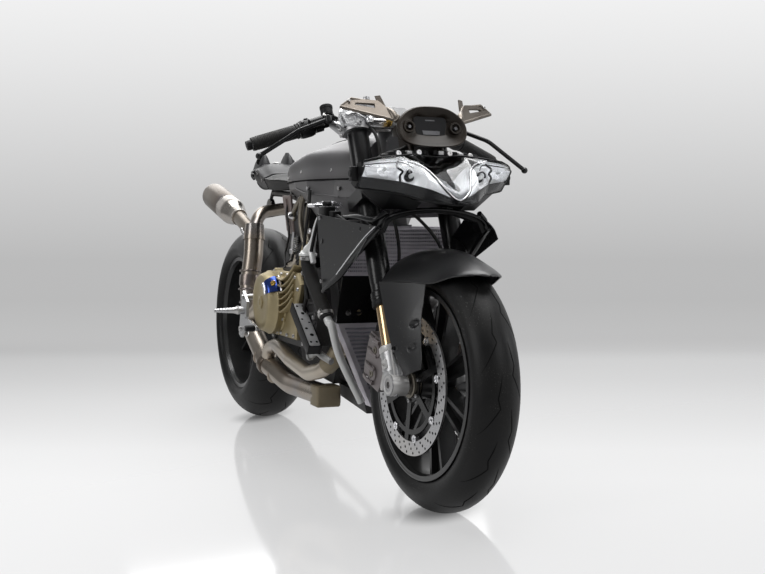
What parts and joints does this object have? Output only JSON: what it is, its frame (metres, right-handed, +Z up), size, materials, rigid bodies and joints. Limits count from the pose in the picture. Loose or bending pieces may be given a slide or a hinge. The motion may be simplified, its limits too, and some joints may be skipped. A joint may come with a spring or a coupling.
{
  "type": "sport motorcycle without fairings",
  "caption": "Two-wheeled sport motorcycle shown without fairings, parked on its side stand, with open engine, clip-on bars, single-sided swingarm and twin silencers under the tail.",
  "frame": {"origin": "centre of the model's box at ground level", "axes": "+X forward, +Y to the rider's left, +Z up; the bike leans to its left on its stand"},
  "size_m": [2.0603, 0.7403, 0.9862],
  "materials": {
    "alloy": "satin",
    "black_paint": "gloss",
    "body_grey": "matte",
    "bronze_paint": "satin",
    "caliper": "satin",
    "cast_bronze": "satin",
    "cast_dark": "satin",
    "clear": "clear",
    "fin": "satin",
    "gold_tube": "polished",
    "lamp": "gloss",
    "matte_black": "matte",
    "rubber": "matte",
    "seat_foam": "matte",
    "steel": "brushed",
    "titanium": "brushed",
    "tyre": "matte"
  },
  "bodies": {
    "chassis": {"crankcase": "cast_dark", "cylinders": "cast_dark", "engine_covers": "cast_bronze", "swingarm": "cast_dark", "rear_caliper": "caliper", "drive_chain": "steel", "front_sprocket": "steel", "shock": "steel", "shock_links": "alloy", "monocoque": "body_grey", "tank": "body_grey", "seat": "seat_foam", "subframe": "cast_dark", "tail_cowl": "body_grey", "headlight_lens": "clear", "headlight_housing": "lamp", "front_shroud": "matte_black", "front_bracket": "bronze_paint", "mirror_stays": "bronze_paint", "display_back": "matte_black", "radiators": "fin", "cooler_plate": "matte_black", "side_panels": "matte_black", "coolant_hose": "rubber", "coolant_pipes": "alloy", "exhaust_pipes": "titanium", "headers": "titanium", "silencers": "titanium", "rearsets": "alloy", "foot_controls": "alloy", "regulator": "alloy", "under_brackets": "cast_dark"},
    "steering": {"fork_tubes": "black_paint", "stanchions": "gold_tube", "fork_feet": "alloy", "front_axle": "steel", "front_calipers": "caliper", "top_clamp": "alloy", "lower_clamp": "black_paint", "clip_ons": "black_paint", "grips": "rubber", "bar_controls": "black_paint", "levers": "black_paint", "front_fender": "matte_black"},
    "front_wheel": {"front_tyre": "tyre", "front_rim": "black_paint", "front_discs": "steel", "front_carriers": "black_paint"},
    "rear_wheel": {"rear_tyre": "tyre", "rear_rim": "black_paint", "rear_axle": "steel", "rear_disc": "steel", "rear_sprocket": "alloy"},
    "side_stand": {"side_stand": "cast_dark"}
  },
  "joints": [
    {"name": "steering", "type": "hinge", "parent": "chassis", "child": "steering", "pos_m": [0.45799, 0.00901, 0.80911], "axis": [-0.4139, 0.1423, 0.8991], "range_deg": [-28.9, 21.1]},
    {"name": "front_wheel_spin", "type": "hinge", "parent": "steering", "child": "front_wheel", "pos_m": [0.73068, -0.06994, 0.29591], "axis": [-0.0621, 0.981, -0.1839], "continuous": true},
    {"name": "rear_wheel_spin", "type": "hinge", "parent": "chassis", "child": "rear_wheel", "pos_m": [-0.70422, -0.06811, 0.32326], "axis": [-0.0001, 0.9877, -0.1564], "continuous": true},
    {"name": "side_stand_fold", "type": "hinge", "parent": "chassis", "child": "side_stand", "pos_m": [-0.01429, 0.05917, 0.23768], "axis": [-0.1904, 0.9779, 0.0863], "range_deg": [0, 95]}
  ]
}
